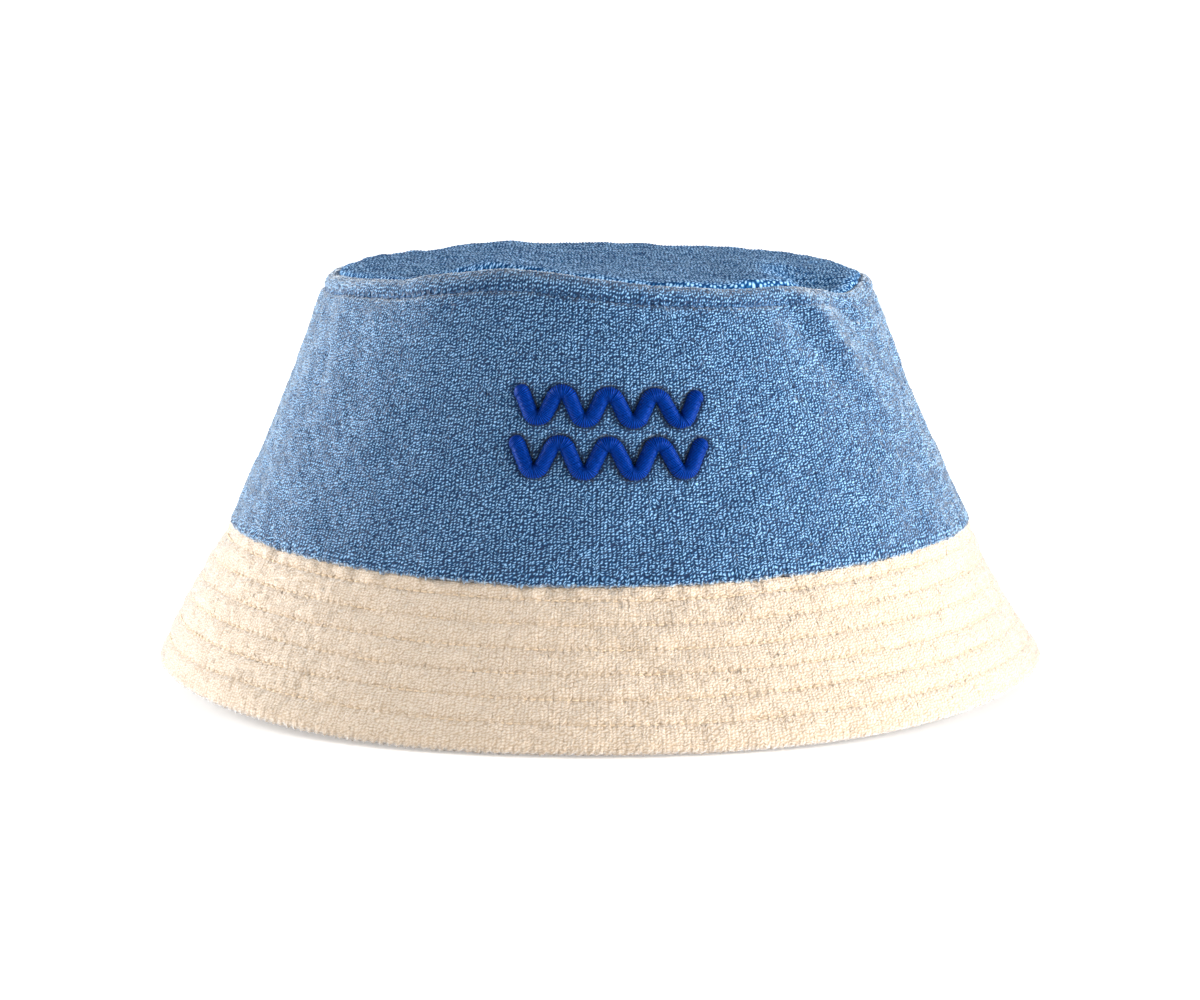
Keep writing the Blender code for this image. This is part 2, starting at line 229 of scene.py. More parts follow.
# Camera, lights and surroundings.
CAMERA_DISTANCE = 0.870
CAMERA_ELEVATION = math.radians(9.1)
CAMERA_LENS = 84.0
AIM_HEIGHT = 0.0552
WINDOW_SIZE = (0.9, 0.7)
WINDOW_TARGET = (0.0, 0.0, 0.07)
RIGHT_WINDOW = (1.10, -0.42, 0.26)
RIGHT_POWER = 29.0
LEFT_WINDOW = (-1.12, 0.16, 0.30)
LEFT_POWER = 24.0
FLOOR_RADIUS = 0.95
FLOOR_HEIGHT = -0.8 * MM
SURROUND_RADIUS = 8.0
# Glow of the floor by distance from the hat, and of the world from the horizon to overhead.
FLOOR_GLOW = ((0.15, 0.30), (0.45, 0.85))
SURROUND_GLOW = ((0.0, 1.0), (1.0, 1.0))
WORLD_GLOW = ((0.0, 0.62), (0.12, 0.60), (0.45, 0.38), (1.0, 0.38))


# ---- small helpers on arrays of points ----


def unit(vectors):
    return vectors / np.linalg.norm(vectors, axis=-1, keepdims=True)


def bell(distance, spread):
    return np.exp(-((distance / spread) ** 2))


def angle_off(angle, degrees):
    """How far an angle is from a heading, in degrees, the short way round."""
    return (np.degrees(angle) - degrees + 180.0) % 360.0 - 180.0


def lumps(points, size, seed, waves=14):
    """A smooth random field over space, about -1 to 1, with lumps of this size."""
    chance = np.random.default_rng(seed)
    total = np.zeros(points.shape[:-1])
    for _ in range(waves):
        heading = unit(chance.normal(size=3))
        pitch = size * chance.uniform(0.7, 1.5)
        total += np.cos(points @ heading * (TURN / pitch) + chance.uniform(0.0, TURN))
    return total * math.sqrt(2.0 / waves) / 1.6


def unevenness(points, layers):
    return sum(rise * lumps(points, size, seed) for rise, size, seed in layers)


def on_ellipse(angle, half_width, half_depth, height=0.0):
    across = half_width * np.cos(angle)
    return np.stack([across, half_depth * np.sin(angle), np.broadcast_to(height, across.shape)], -1)


def grid_normals(points):
    """Outward normals of a grid whose rows run downhill and whose columns run round."""
    down = np.gradient(points, axis=0)
    along = np.gradient(points, axis=1)
    return unit(np.cross(down, along))


# ---- the hat's surfaces ----


def tip_line(angle):
    lift = MM * sum(rise * bell(angle_off(angle, at), spread) for at, spread, rise in TIP_LIFTS)
    return on_ellipse(angle, TIP_HALF_WIDTH, TIP_HALF_DEPTH, TIP_HEIGHT + lift)


def seam_line(angle):
    height = SEAM_SIDE_HEIGHT - SEAM_DIP * np.sin(angle) ** 2
    return on_ellipse(angle, SEAM_HALF_WIDTH, SEAM_HALF_DEPTH, height)


def edge_line(angle):
    rise = (np.cos(angle) ** 2 - EDGE_CONTACT_COS2) / (1.0 - EDGE_CONTACT_COS2)
    height = EDGE_SIDE_HEIGHT * np.maximum(0.0, rise) ** EDGE_LIFT_POWER
    return on_ellipse(angle, EDGE_HALF_WIDTH, EDGE_HALF_DEPTH, height)


def outward(angle):
    level = np.zeros(np.shape(angle))
    return unit(np.stack([SEAM_HALF_DEPTH * np.cos(angle), SEAM_HALF_WIDTH * np.sin(angle), level], -1))


def crown_bulge(station):
    near = SHOULDER_BULGE * (1.0 - (1.0 - station / SHOULDER_STATION) ** 2)
    share = (station - SHOULDER_STATION) / (1.0 - SHOULDER_STATION)
    far = SHOULDER_BULGE + (ROLL_BULGE - SHOULDER_BULGE) * share
    return np.where(station < SHOULDER_STATION, near, far)


def crown(angle, station):
    """The crown wall as worn soft: its two seams, its shoulder and its dents."""
    angle, station = np.broadcast_arrays(angle, station)
    top, base = tip_line(angle), seam_line(angle)
    flat_top = on_ellipse(angle, TIP_HALF_WIDTH, TIP_HALF_DEPTH, TIP_HEIGHT)
    line = flat_top + (base - flat_top) * station[..., None]
    line = line + (top - flat_top) * (np.clip(1.0 - station, 0.0, 1.0) ** TIP_LIFT_POWER)[..., None]
    bulge = crown_bulge(station)
    free = 1.0 - bell(station, HELD_STATION)
    for at, spread, middle, reach, rise, slant in WALL_HILLS:
        off = angle_off(angle, at + slant * station)
        bulge = bulge + free * rise * MM * bell(off, spread) * bell(station - middle, reach)
    return line + outward(angle) * bulge[..., None]


def on_surface(surface, angle, station, proud):
    """Points this far out of a surface, with the normal there."""
    down = surface(angle, station + STEP) - surface(angle, station - STEP)
    along = surface(angle + STEP, station) - surface(angle - STEP, station)
    normal = unit(np.cross(down, along))
    return surface(angle, station) + normal * np.asarray(proud)[..., None], normal


def brim_slab(angle):
    """For each angle: the upper face's start, the slope's direction, its normal, and its run.

    The run is the distance down the slope to the middle of the rounded edge.
    """
    start, end = seam_line(angle) - [0.0, 0.0, GAP], edge_line(angle)
    along = seam_line(angle + STEP) - seam_line(angle - STEP)
    along = along + edge_line(angle + STEP) - edge_line(angle - STEP)
    radius = BRIM_THICKNESS / 2.0
    middle = start - unit(np.cross(end - start, along)) * radius
    aside = unit(end * [1.0, EDGE_HALF_WIDTH / EDGE_HALF_DEPTH, 0.0])
    centre = end - aside * radius + [0.0, 0.0, radius]
    run = np.linalg.norm(centre - middle, axis=-1)
    down = unit(centre - middle)
    normal = unit(np.cross(down, along))
    return middle + normal * radius, down, normal, run


def even_angles(first, last, count, half_width, half_depth):
    """Angles from first to last, evenly spaced along an ellipse rather than in angle."""
    fine = np.linspace(first, last, 2000)
    speed = np.hypot(half_width * np.sin(fine), half_depth * np.cos(fine))
    travelled = np.concatenate([[0.0], np.cumsum((speed[1:] + speed[:-1]) / 2.0)])
    return np.interp(np.linspace(0.0, travelled[-1], count), travelled, fine)


def travel(points):
    """The distance along a path at each of its points."""
    steps = np.linalg.norm(np.diff(points, axis=0), axis=-1)
    return np.concatenate([[0.0], np.cumsum(steps)])


def read_along(where, travelled, values):
    """Values given along a path, read at other distances along it."""
    return np.stack([np.interp(where, travelled, column) for column in values.T], -1)


# ---- meshes ----


def make_mesh(name, points, faces, material, pile_shade=None, body="hat", loops=None):
    """A smooth-shaded mesh piece that rides on a body.

    Its loop height, with painted shade folded in (darker between loops, in grooves and between satin
    strands), and its place counted in loops, across and down, go along as attributes.
    """
    mesh = bpy.data.meshes.new(name)
    mesh.from_pydata(points.reshape(-1, 3).tolist(), [], faces)
    mesh.validate()
    mesh.shade_smooth()
    layers = (("pile_shade", "FLOAT", "value", pile_shade), ("loops", "FLOAT_VECTOR", "vector", loops))
    for layer, kind, field, values in layers:
        if values is not None:
            data = mesh.attributes.new(layer, kind, "POINT").data
            data.foreach_set(field, np.asarray(values, np.float32).ravel())
    mesh.materials.append(material)
    piece = bpy.data.objects.new(name, mesh)
    bpy.context.collection.objects.link(piece)
    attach(piece, body)
    return piece


def loop_faces(rows, columns, ring=False):
    """Faces of a sleeve whose rows close on themselves; its ends are capped unless it's a ring."""
    i = np.arange(rows)[:, None]
    j = np.arange(columns if ring else columns - 1)[None, :]
    following, across = (i + 1) % rows, (j + 1) % columns
    quads = np.stack(
        [i * columns + j, following * columns + j, following * columns + across, i * columns + across], -1
    )
    faces = quads.reshape(-1, 4).tolist()
    if not ring:
        faces.append((np.arange(rows)[::-1] * columns).tolist())
        faces.append((np.arange(rows) * columns + columns - 1).tolist())
    return faces


def loop_place(across, down):
    """Loop coordinates for the material, shifted so that its cells centre on the loops."""
    across, down = np.broadcast_arrays(across + LOOP_DISORDER / 2.0, down + LOOP_DISORDER / 2.0)
    return np.stack([across, down, np.zeros(across.shape)], -1)


def terry_loops(rows, columns, chance, saddle=-0.30, spread=0.16):
    """Loop heights for a grid with two points to a loop: tips, saddles and gaps, -1 to 1."""
    i, j = np.arange(rows)[:, None] % 2, np.arange(columns)[None, :] % 2
    level = np.where((i == 0) & (j == 0), 1.0, np.where((i == 1) & (j == 1), -1.0, saddle))
    tall = chance.normal(0.0, 0.12, ((rows + 1) // 2, (columns + 1) // 2))
    tall = np.repeat(np.repeat(tall, 2, 0), 2, 1)[:rows, :columns]
    return np.clip(level + tall + chance.normal(0.0, spread, (rows, columns)), -1.5, 1.5)


def shake(points, normal, amount, chance, wander=0.0):
    """Moves points sideways, so that loops don't stand in a perfect grid.

    Each column of loops also wanders up and down its length on its own.
    """
    drift = chance.normal(0.0, amount, points.shape)
    rows, columns = points.shape[:2]
    pairs = (columns + 1) // 2
    span = 12
    walk = chance.normal(0.0, 1.0, (rows + span, pairs)).cumsum(0)
    walk = walk[span:] - walk[:-span]
    walk = np.repeat(walk / math.sqrt(span), 2, 1)[:, :columns]
    down = unit(np.gradient(points, axis=0))
    drift = drift + down * (wander * walk)[..., None]
    return points + drift - normal * (drift * normal).sum(-1, keepdims=True)


def rounding(distance, radius):
    """How far a cloth edge turns in at this distance from it: a quarter circle."""
    near = np.clip(radius - distance, 0.0, radius)
    return radius - np.sqrt(np.maximum(radius**2 - near**2, 0.0))


# ---- crown wall ----


def motif_distance(points, plans):
    """Distance of each point from the nearest motif stroke's centre line."""
    line = np.concatenate([plan["line"] for plan in plans])
    flat = points.reshape(-1, 3)
    far = 1.0
    nearest = np.full(len(flat), far)
    close = np.linalg.norm(flat - line.mean(0), axis=1) < MOTIF_REACH
    part = flat[close]
    best = np.full(len(part), far)
    batch = 40
    for begin in range(0, len(line), batch):
        gaps = np.linalg.norm(part[:, None] - line[None, begin : begin + batch], axis=2)
        best = np.minimum(best, gaps.min(1))
    nearest[close] = best
    return nearest.reshape(points.shape[:-1])


def make_wall(side, first, material, plans):
    """Half of the wall: loops outside, turned edges, a frayed hem, and a plain inside."""
    columns = 2 * round(math.pi * (SEAM_HALF_WIDTH + TIP_HALF_DEPTH) / 2.0 / LOOP_PITCH) + 1
    rows = 2 * round(WALL_SLOPE / LOOP_PITCH) + 1
    middle = (TIP_HALF_WIDTH + SEAM_HALF_WIDTH) / 2.0, (TIP_HALF_DEPTH + SEAM_HALF_DEPTH) / 2.0
    angles = even_angles(first, first + math.pi, columns, *middle)
    chance = np.random.default_rng(int(first * 10) + 50)
    station = np.linspace(0.0, 1.0, rows)[:, None]
    base = crown(angles, station)
    normal = grid_normals(base)
    depth = station * WALL_SLOPE
    run = np.arange(1, columns + 1) * LOOP_PITCH / 2.0
    # The seam's puff and its pulled stitches, softer where the seam is dragged down.
    fade = 1.0 - 0.75 * bell(angle_off(angles, -25.0), 22.0)
    pull = 0.75 + 0.25 * np.cos(TURN * run / TOPSTITCH_LENGTH)
    band = np.clip(depth / TOPSTITCH_DEPTH, 0.0, 1.0)
    relief = TOPSTITCH_PUFF * np.sin(math.pi * band) ** 0.7 * (band < 1.0) * fade
    relief = relief - TOPSTITCH_PULL * bell(depth - TOPSTITCH_DEPTH, 0.8 * MM) * pull * fade
    relief = relief - rounding(depth, 1.1 * MM) - rounding(WALL_SLOPE - depth, 1.0 * MM)
    relief = relief - rounding(np.minimum(run - run[0], run[-1] - run), 0.9 * MM)
    relief = relief + unevenness(base, WALL_LUMPS)
    # The ring pressed round the motif: pressed into the relief, and also used below as painted shade.
    press_and_shade = np.zeros(base.shape[:2])
    if side == "front":
        off = motif_distance(base, plans)
        press_and_shade = bell(off - STROKE / 2.0, 0.8 * MM)
        relief = relief - MOTIF_PRESS * press_and_shade - 0.5 * MM * (off < STROKE / 2.0)
    outer = base + normal * relief[..., None]
    fine = grid_normals(outer)
    loops = terry_loops(rows, columns, chance) * (1.0 - 0.5 * press_and_shade)
    outer = outer + fine * (LOOP_RELIEF * loops)[..., None]
    outer = shake(outer, fine, LOOP_SHAKE, chance, 2.0 * LOOP_SHAKE)
    tufts = np.abs(chance.normal(0.0, 0.45 * MM, (TUFT_ROWS, columns)))
    outer[-TUFT_ROWS:, :, 2] -= tufts * np.linspace(0.2, 1.0, TUFT_ROWS)[:, None] + 0.3 * MM
    outer[-TUFT_ROWS:] += outward(angles) * chance.uniform(0.0, 0.5 * MM, columns)[:, None]
    inner_station = np.linspace(1.0, 0.0, INNER_ROWS)[:, None]
    inner = crown(angles, inner_station)
    inner = inner - grid_normals(inner[::-1])[::-1] * TERRY
    inner[-1] = outer[0] - [0.0, 0.0, 0.7 * MM]
    points = np.concatenate([outer, inner])
    # Painted shade for the colour: darker in the topstitch groove, between loops, and in the ring pressed
    # round the motif, which is partly pressed terry and partly painted shade.
    seam = bell(depth - TOPSTITCH_DEPTH, 0.7 * MM) * pull * fade
    pile_shade = 0.5 + 0.22 * loops - 0.55 * press_and_shade - 0.45 * seam
    pile_shade = np.concatenate([pile_shade, np.full((INNER_ROWS, columns), PLAIN_PILE)])
    down = np.concatenate([depth, inner_station * WALL_SLOPE]) / LOOP_PITCH
    place = loop_place(np.arange(columns)[None, :] / 2.0, down)
    faces = loop_faces(len(points), columns)
    piece = make_mesh(f"terry_wall_{side}", points, faces, material, pile_shade, loops=place)
    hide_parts(f"crown_{side}_panel")


# ---- crown top ----


def top_height(x, y):
    share = np.clip(np.hypot(x / TIP_HALF_WIDTH, y / TIP_HALF_DEPTH), 0.0, 1.0)
    angle = np.arctan2(y / TIP_HALF_DEPTH, x / TIP_HALF_WIDTH)
    height = tip_line(angle)[..., 2] - TIP_HEIGHT
    height = TIP_HEIGHT + height * share**3 + 0.4 * TIP_DOME * (1.0 - share**2)
    height = height + TIP_ROLL * (1.0 - bell((1.0 - share) * TIP_HALF_DEPTH, 5.0 * MM))
    for at_x, at_y, reach_x, reach_y, rise in TOP_HILLS:
        height = height + rise * MM * bell(x - at_x, reach_x) * bell(y - at_y, reach_y)
    return height


def make_top(material):
    """A square-grid disc of terry, trimmed to the oval, over a coarser underside."""
    chance = np.random.default_rng(8)
    half = LOOP_PITCH / 2.0
    count_x, count_y = int(TIP_HALF_WIDTH / half) + 2, int(TIP_HALF_DEPTH / half) + 2
    x, y = np.meshgrid(np.arange(-count_x, count_x + 1) * half, np.arange(-count_y, count_y + 1) * half)
    share = np.hypot(x / TIP_HALF_WIDTH, y / TIP_HALF_DEPTH)
    kept = share < 1.0 - 0.3 * half / TIP_HALF_DEPTH
    whole = kept[:-1, :-1] & kept[1:, :-1] & kept[:-1, 1:] & kept[1:, 1:]
    # A point is used if any square round it is whole, and is on the rim unless all four are.
    around = np.pad(whole, 1)
    around = np.stack([around[:-1, :-1], around[1:, :-1], around[:-1, 1:], around[1:, 1:]])
    used, inner = around.any(0), around.all(0)
    rim = used & ~inner
    scale = np.where(rim, 1.0 / np.maximum(share, 1e-6), 1.0)
    x, y = x * scale, y * scale
    share = np.hypot(x / TIP_HALF_WIDTH, y / TIP_HALF_DEPTH)
    base = np.stack([x, y, top_height(x, y)], -1)
    slope_x = (top_height(x + half, y) - top_height(x - half, y)) / LOOP_PITCH
    slope_y = (top_height(x, y + half) - top_height(x, y - half)) / LOOP_PITCH
    normal = unit(np.stack([-slope_x, -slope_y, np.ones(x.shape)], -1))
    inset = (1.0 - share) * TIP_HALF_DEPTH
    relief = 0.55 * MM * bell(inset - 3.0 * MM, 2.2 * MM) - rounding(inset, 1.1 * MM)
    relief = relief + unevenness(base, TOP_LUMPS)
    loops = terry_loops(*kept.shape, chance) * (1.0 - 0.75 * bell(inset, 5.0 * MM))
    points = base + normal * (relief + TOP_RELIEF * loops * ~rim)[..., None]
    points[~rim] = shake(points, normal, 0.10 * MM, chance)[~rim]
    index = np.full(kept.shape, -1)
    index[used] = np.arange(used.sum())
    quads = np.stack([index[:-1, :-1], index[:-1, 1:], index[1:, 1:], index[1:, :-1]], -1)[whole]
    vertices, faces = points[used], quads.tolist()
    # Painted shade between the loops, for the colour.
    pile_shade = (0.5 + 0.22 * loops)[used]
    border = border_loop(quads)
    # Rings under the disc, each as (share of the outline, depth below the top).
    steps = ((1.0, 1.2 * MM), (0.97, TERRY), (0.8, TERRY), (0.6, TERRY), (0.4, TERRY), (0.2, TERRY))
    rings, last = [border], vertices[border]
    extra = []
    for shrink, drop in steps:
        ring = last * [shrink, shrink, 1.0]
        under = top_height(ring[:, 0], ring[:, 1]) if shrink < 1.0 else last[:, 2]
        ring[:, 2] = under - drop
        first = len(vertices) + len(extra)
        rings.append(list(range(first, first + len(ring))))
        extra.extend(ring.tolist())
    for upper, lower in zip(rings[:-1], rings[1:]):
        for k in range(len(border)):
            after = (k + 1) % len(border)
            faces.append([upper[after], upper[k], lower[k], lower[after]])
    faces.append(rings[-1][::-1])
    vertices = np.concatenate([vertices, np.array(extra)])
    pile_shade = np.concatenate([pile_shade, np.full(len(extra), PLAIN_PILE)])
    place = loop_place(vertices[:, 0] / LOOP_PITCH, -TOP_STRETCH * vertices[:, 1] / LOOP_PITCH)
    piece = make_mesh("terry_top", vertices, faces, material, pile_shade, loops=place)
    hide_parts("crown_top_panel")


def border_loop(quads):
    """The border's vertices in order, from the quads' edges that only one quad uses."""
    forward = {(quad[k], quad[(k + 1) % 4]): True for quad in quads.tolist() for k in range(4)}
    step = {a: b for a, b in forward if (b, a) not in forward}
    start = next(iter(step))
    loop, at = [start], step[start]
    while at != start:
        loop.append(at)
        at = step[at]
    return loop


# ---- brim ----


def brim_hills(angle, share):
    total = MM * sum(rise * bell(angle_off(angle, at), spread) for at, spread, rise in BRIM_HILLS)
    return total * np.sin(math.pi * np.clip(share, 0.0, 1.0))


def quilting(share, run_along, puff, pull):
    """Channels that puff between the stitch rows, with a dimple at every stitch."""
    edges = np.array([0.0] + ROWS + [0.95])
    slot = np.clip(np.searchsorted(edges, share, side="right") - 1, 0, len(edges) - 2)
    low, high = edges[slot], edges[slot + 1]
    within = np.clip((share - low) / (high - low), 0.0, 1.0)
    relief = puff * (np.sin(math.pi * within) ** 0.55 - 0.55)
    for k, row in enumerate(ROWS):
        dimple = 0.5 + 0.5 * np.cos(TURN * (run_along / BRIM_STITCH + 0.37 * k))
        relief = relief - pull * dimple * bell((share - row) * BRIM_SLOPE, 0.65 * MM)
    return relief


def brim_columns(first, pitch):
    """Angles of half the brim's columns, two to a loop, and the distance along to each."""
    half_width = (SEAM_HALF_WIDTH + EDGE_HALF_WIDTH) / 2.0
    half_depth = (SEAM_HALF_DEPTH + EDGE_HALF_DEPTH) / 2.0
    fine = on_ellipse(np.linspace(first, first + math.pi, 400), half_width, half_depth)
    length = travel(fine)[-1]
    count = 2 * round(length / pitch) + 1
    angles = even_angles(first, first + math.pi, count, half_width, half_depth)
    return angles, np.linspace(0.0, length, count)


def make_brim_layer(side, first, upper, material):
    """One terry layer of half the brim, wrapped round the edge to meet the other layer."""
    pitch = BRIM_PITCH if upper else UNDER_PITCH
    facing = 1.0 if upper else -1.0
    angles, along = brim_columns(first, pitch)
    columns = len(angles)
    chance = np.random.default_rng(int(first * 10) + (90 if upper else 120))
    start, down, normal, run = brim_slab(angles)
    radius = BRIM_THICKNESS / 2.0
    core = start - normal * radius
    normal = normal * facing
    # The flat of the layer, quilted and gathered along its seam.
    straight = round(BRIM_SLOPE / (pitch / 2.0))
    share = np.linspace(0.0, 1.0, straight)[:, None]
    quilted = share * run[None, :] / BRIM_SLOPE
    flat = core + normal * radius + down * (run[None, :, None] * share[..., None])
    relief = quilting(quilted, along, BRIM_PUFF, BRIM_PULL)
    relief = relief - rounding(share * BRIM_SLOPE, 0.6 * MM)
    gathers = lumps(flat * [1.0, 1.0, 0.25], 7.0 * MM, 11) * bell(share - 0.05, 0.05)
    relief = relief + 0.40 * MM * gathers + unevenness(flat, BRIM_LUMPS)
    flat = flat + normal * (relief + brim_hills(angles, share) * facing)[..., None]
    # The turn round the edge, with the rope twist that the edge's stitching gives it.
    turn_end = math.radians(118.0 if upper else 58.0)
    turn_steps = max(4, round(radius * turn_end / (pitch / 2.0)))
    turns = np.linspace(0.0, turn_end, turn_steps + 1)[1:, None, None]
    ring = run[None, :, None] * down + core
    rope = np.sin(TURN * along / (2.4 * MM) + 3.0 * turns[..., 0]) * 0.34 * MM
    rope = rope * (0.35 + 0.65 * bell(angle_off(angles, -112.0), 30.0)) * np.sin(turns[..., 0])
    end_relief = relief[-1] * np.cos(turns[..., 0] * 0.75) ** 2 + rope
    turned = ring + (normal * np.cos(turns) + down * np.sin(turns)) * (radius + end_relief[..., None])
    outer = np.concatenate([flat, turned])
    fine = grid_normals(outer) * facing
    loops = terry_loops(len(outer), columns, chance, saddle=-0.1, spread=0.28)
    outer = outer + fine * ((0.15 if upper else 0.2) * MM * loops)[..., None]
    outer = shake(outer, fine, LOOP_SHAKE, chance, 0.20 * MM)
    side_gap = np.minimum(along, along[-1] - along)
    outer = outer - fine * rounding(side_gap, 0.7 * MM)[None, :, None]
    # The plain inside, back round the turn and up the slope.
    inner_turns = np.linspace(turn_end, 0.0, 5)[:, None, None]
    hollow = radius - BRIM_TERRY
    inner_roll = ring + (normal * np.cos(inner_turns) + down * np.sin(inner_turns)) * hollow
    inner_share = np.linspace(1.0, 0.0, INNER_ROWS)[1:, None]
    inner_flat = core + normal * hollow + down * (run[None, :, None] * inner_share[..., None])
    inner_flat = inner_flat + normal * (brim_hills(angles, inner_share) * facing)[..., None]
    points = np.concatenate([outer, inner_roll, inner_flat])
    pile_shade = np.full(points.shape[:2], 0.5)
    # Painted shade between the loops and in the quilting grooves, a little paler on the puffs.
    pile_shade[: len(outer)] += 0.15 * loops
    pile_shade[:straight] += np.clip(quilting(quilted, along, 0.6, 0.7), -1.0, 0.2) * 0.7
    fallen = np.arange(len(outer)) * pitch / 2.0
    fallen = np.concatenate([fallen, fallen[-1] + travel(points[:, columns // 2])[len(outer) :]])
    place = loop_place(along[None, :] / BRIM_PITCH, fallen[:, None] / BRIM_PITCH)
    faces = loop_faces(len(points), columns)
    if not upper:
        faces = [face[::-1] for face in faces]
    layer = "upper" if upper else "lower"
    piece = make_mesh(f"terry_brim_{layer}_{side}", points, faces, material, pile_shade, loops=place)
    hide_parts(f"brim_{layer}_{side}")


# ---- stitching ----


def stitches(path, normal, pitch, radius, sunk):
    """Points and faces of a closed row of stitches, each a thread that dips in at both ends."""
    loop, facing = np.concatenate([path, path[:1]]), np.concatenate([normal, normal[:1]])
    travelled = travel(loop)
    count = round(travelled[-1] / pitch)
    # One stitch: shares of its length, how high it arches, and how thick it is there.
    shares = np.array([0.04, 0.10, 0.24, 0.42, 0.60, 0.76, 0.90, 0.96])
    arch = np.array([-1.0, -0.35, 0.0, 0.12, 0.12, 0.0, -0.35, -1.0])
    fat = np.array([0.55, 0.95, 1.0, 1.0, 1.0, 1.0, 0.95, 0.55])
    where = (np.arange(count)[:, None] + shares) * (travelled[-1] / count)
    centre = read_along(where, travelled, loop)
    up = unit(read_along(where, travelled, facing))
    ahead = unit(np.gradient(centre, axis=1))
    beside = unit(np.cross(up, ahead))
    centre = centre + up * (arch * sunk)[None, :, None]
    sides = 6
    turns = np.arange(sides) * TURN / sides
    ring = up[:, :, None] * np.cos(turns)[:, None] + beside[:, :, None] * np.sin(turns)[:, None]
    points = centre[:, :, None] + ring * (fat * radius)[None, :, None, None]
    faces = []
    size = len(shares) * sides
    for k in range(count):
        for s in range(len(shares) - 1):
            for t in range(sides):
                a = k * size + s * sides
                faces.append((a + t, a + (t + 1) % sides, a + sides + (t + 1) % sides, a + sides + t))
        faces.append(tuple(k * size + t for t in reversed(range(sides))))
        faces.append(tuple(k * size + size - sides + t for t in range(sides)))
    return points.reshape(-1, 3), faces


def join(parts):
    """Several (points, faces) pairs as one."""
    points, faces, offset = [], [], 0
    for some_points, some_faces in parts:
        points.append(some_points)
        faces.extend([tuple(index + offset for index in face) for face in some_faces])
        offset += len(some_points)
    return np.concatenate(points), faces


def make_brim_stitches(material):
    angles = even_angles(0.0, TURN, 1500, EDGE_HALF_WIDTH, EDGE_HALF_DEPTH)[:-1]
    start, down, normal, _ = brim_slab(angles)
    for k, row in enumerate(ROWS):
        swell = brim_hills(angles, row)[:, None]
        upper = start + down * (BRIM_SLOPE * row) + normal * (swell - 0.50 * MM)
        lower = upper - normal * (BRIM_THICKNESS - 1.0 * MM)
        parts = [
            stitches(upper, normal, BRIM_STITCH, 0.27 * MM, 0.7 * MM),
            stitches(lower, -normal, BRIM_STITCH, 0.27 * MM, 0.7 * MM),
        ]
        points, faces = join(parts)
        piece = make_mesh(f"quilting_row_{k + 1}", points, faces, material)
        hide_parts(f"brim_stitch_row_{k + 1}")


def make_topstitching(material):
    angles = even_angles(0.0, TURN, 1500, TIP_HALF_WIDTH, TIP_HALF_DEPTH)[:-1]
    path, normal = on_surface(crown, angles, TOPSTITCH_DEPTH / WALL_SLOPE, -TOPSTITCH_PUFF)
    points, faces = stitches(path, normal, TOPSTITCH_LENGTH, 0.25 * MM, 0.6 * MM)
    piece = make_mesh("tip_stitches", points, faces, material)
    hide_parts("tip_topstitching")


# ---- linings ----


def make_strip(name, part, angles, ring, high, low, thickness, material):
    """A woven strip against the wall's inside, with rounded edges, between two stations."""
    share = np.linspace(0.0, 1.0, 11)
    half = np.minimum(1.0, 0.35 + 3.0 * np.minimum(share, 1.0 - share)) / 2.0
    station = high + (low - high) * np.concatenate([share, share[::-1]])[:, None]
    deep = LINING_DEPTH + thickness * (0.5 + np.concatenate([-half, half]))[:, None]
    points, _ = on_surface(crown, angles, station, -deep)
    piece = make_mesh(name, points, loop_faces(len(points), len(angles), ring), material)
    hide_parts(part)


def make_linings(tape, band, nonwoven, thread):
    ring = np.linspace(0.0, TURN, 241)[:-1]
    make_strip(
        "tip_tape", "tip_seam_tape", ring, True, 0.06, 0.20, TAPE, tape
    )
    for side, middle in (("right", 0.0), ("left", math.pi)):
        angles = middle + np.radians(np.linspace(-4.3, 4.3, 13))
        name, part = f"side_tape_{side}", f"side_seam_tape_{side}"
        make_strip(name, part, angles, False, 0.205, 0.645, TAPE, tape)
    make_strip(
        "inner_band", "sweatband", ring, True, 0.65, 0.985, SWEATBAND, band,
    )
    angles = np.linspace(0.0, TURN, 1201)[:-1]
    deep = LINING_DEPTH + SWEATBAND + 0.1 * MM
    path, normal = on_surface(crown, angles, BAND_STITCH_STATION, -deep)
    points, faces = stitches(path, -normal, BAND_STITCH, 0.25 * MM, 0.5 * MM)
    piece = make_mesh("inner_band_stitches", points, faces, thread)
    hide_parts("sweatband_stitching")
    angles = np.radians(np.linspace(-90.0 - 22.5, -90.0 + 22.5, 41))
    make_strip(
        "motif_backing", "embroidery_backing", angles, False, 0.24, 0.62, BACKING, nonwoven,
    )


def make_interlinings(material):
    """The stiff sheet between the brim's two terry layers."""
    shares = (0.0, 0.25, 0.5, 0.75, STIFFENER_SHARE)
    outline = [(BRIM_TERRY + GAP, share) for share in shares]
    outline += [(BRIM_TERRY + GAP + INTERLINING, share) for share in reversed(shares)]
    for side, first in HALVES:
        angles = np.linspace(first, first + math.pi, 121)
        start, down, normal, run = brim_slab(angles)
        rows = []
        for deep, share in outline:
            swell = brim_hills(angles, share)[:, None]
            rows.append(start + down * (run * share)[:, None] + normal * (swell - deep))
        points = np.array(rows)
        faces = loop_faces(len(points), len(angles))
        piece = make_mesh(f"brim_stiffener_{side}", points, faces, material)
        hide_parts(f"brim_interlining_{side}")


# ---- motif ----


